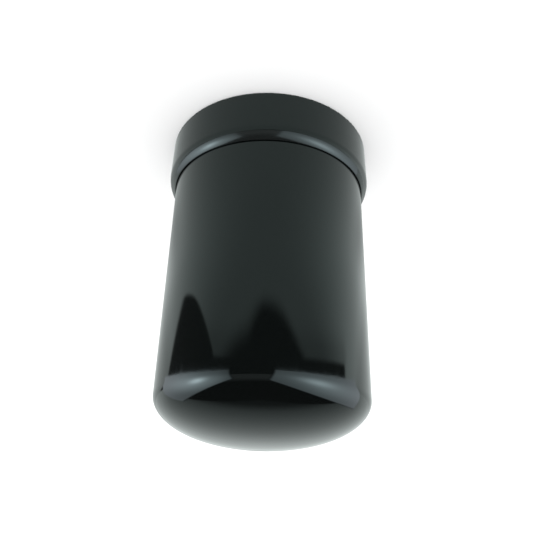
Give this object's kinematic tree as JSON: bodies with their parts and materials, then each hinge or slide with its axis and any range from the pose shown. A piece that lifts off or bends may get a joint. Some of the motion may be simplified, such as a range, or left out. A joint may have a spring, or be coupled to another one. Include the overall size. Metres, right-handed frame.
{
  "type": "survey prism",
  "caption": "Round corner-cube survey prism on a sprung carriage inside a gloss black domed canister, closed by a screw-on front ring.",
  "frame": {"origin": "centre of the front ring's flat front face, on which the object stands", "axes": "+Z along the axis from the front ring to the domed rear; the glass faces -Z; +X and +Y are across the axis, with one ridge-free rear face of the glass towards +Y"},
  "size_m": [0.0772, 0.0772, 0.1141],
  "materials": {
    "gloss_black_plastic": "smooth moulded gloss",
    "black_rubber": "matt moulded rubber",
    "prism_glass": "polished optical glass, silvered on its three rear faces",
    "black_anodised": "satin black anodised, turned",
    "white_ptfe": "waxy matt",
    "grey_acetal": "satin",
    "bright_steel": "turned bright",
    "spring_steel": "drawn and oiled"
  },
  "bodies": {
    "ring": {"front_ring": "gloss_black_plastic", "front_gasket": "black_rubber"},
    "seal": {"ring_seal": "black_rubber"},
    "canister": {"canister_shell": "gloss_black_plastic", "snap_ring": "spring_steel", "spring_seat": "black_anodised", "seat_bush": "grey_acetal", "rear_buffer": "black_rubber", "float_spring": "spring_steel"},
    "carriage": {"prism_cell": "black_anodised", "glass_seat_ring": "white_ptfe", "corner_cube_prism": "prism_glass", "edge_saddle_1": "black_rubber", "edge_saddle_2": "black_rubber", "edge_saddle_3": "black_rubber", "back_cup": "black_anodised", "cup_screw_1": "bright_steel", "cup_screw_2": "bright_steel", "cup_screw_3": "bright_steel", "glide_band_front": "white_ptfe", "glide_band_rear": "white_ptfe", "guide_stem": "bright_steel", "stem_nut": "bright_steel", "stem_bumper": "black_rubber"}
  },
  "joints": [
    {"name": "canister_rise", "type": "slide", "parent": "ring", "child": "seal", "axis": [0, 0, 1], "range_m": [0, 0.009]},
    {"name": "canister_turn", "type": "hinge", "parent": "seal", "child": "canister", "pos_m": [0, 0, 0.0043], "axis": [0, 0, 1], "range_deg": [0, 1620]},
    {"name": "prism_float", "type": "slide", "parent": "canister", "child": "carriage", "axis": [0, 0, 1], "range_m": [0, 0.0025], "stiffness_N_per_m": 800, "springref_m": -0.0075, "deforming": ["float_spring"]}
  ],
  "couplings": [
    {"joint": "canister_rise", "follows": "canister_turn", "m_per_rad": 0.00031831}
  ]
}
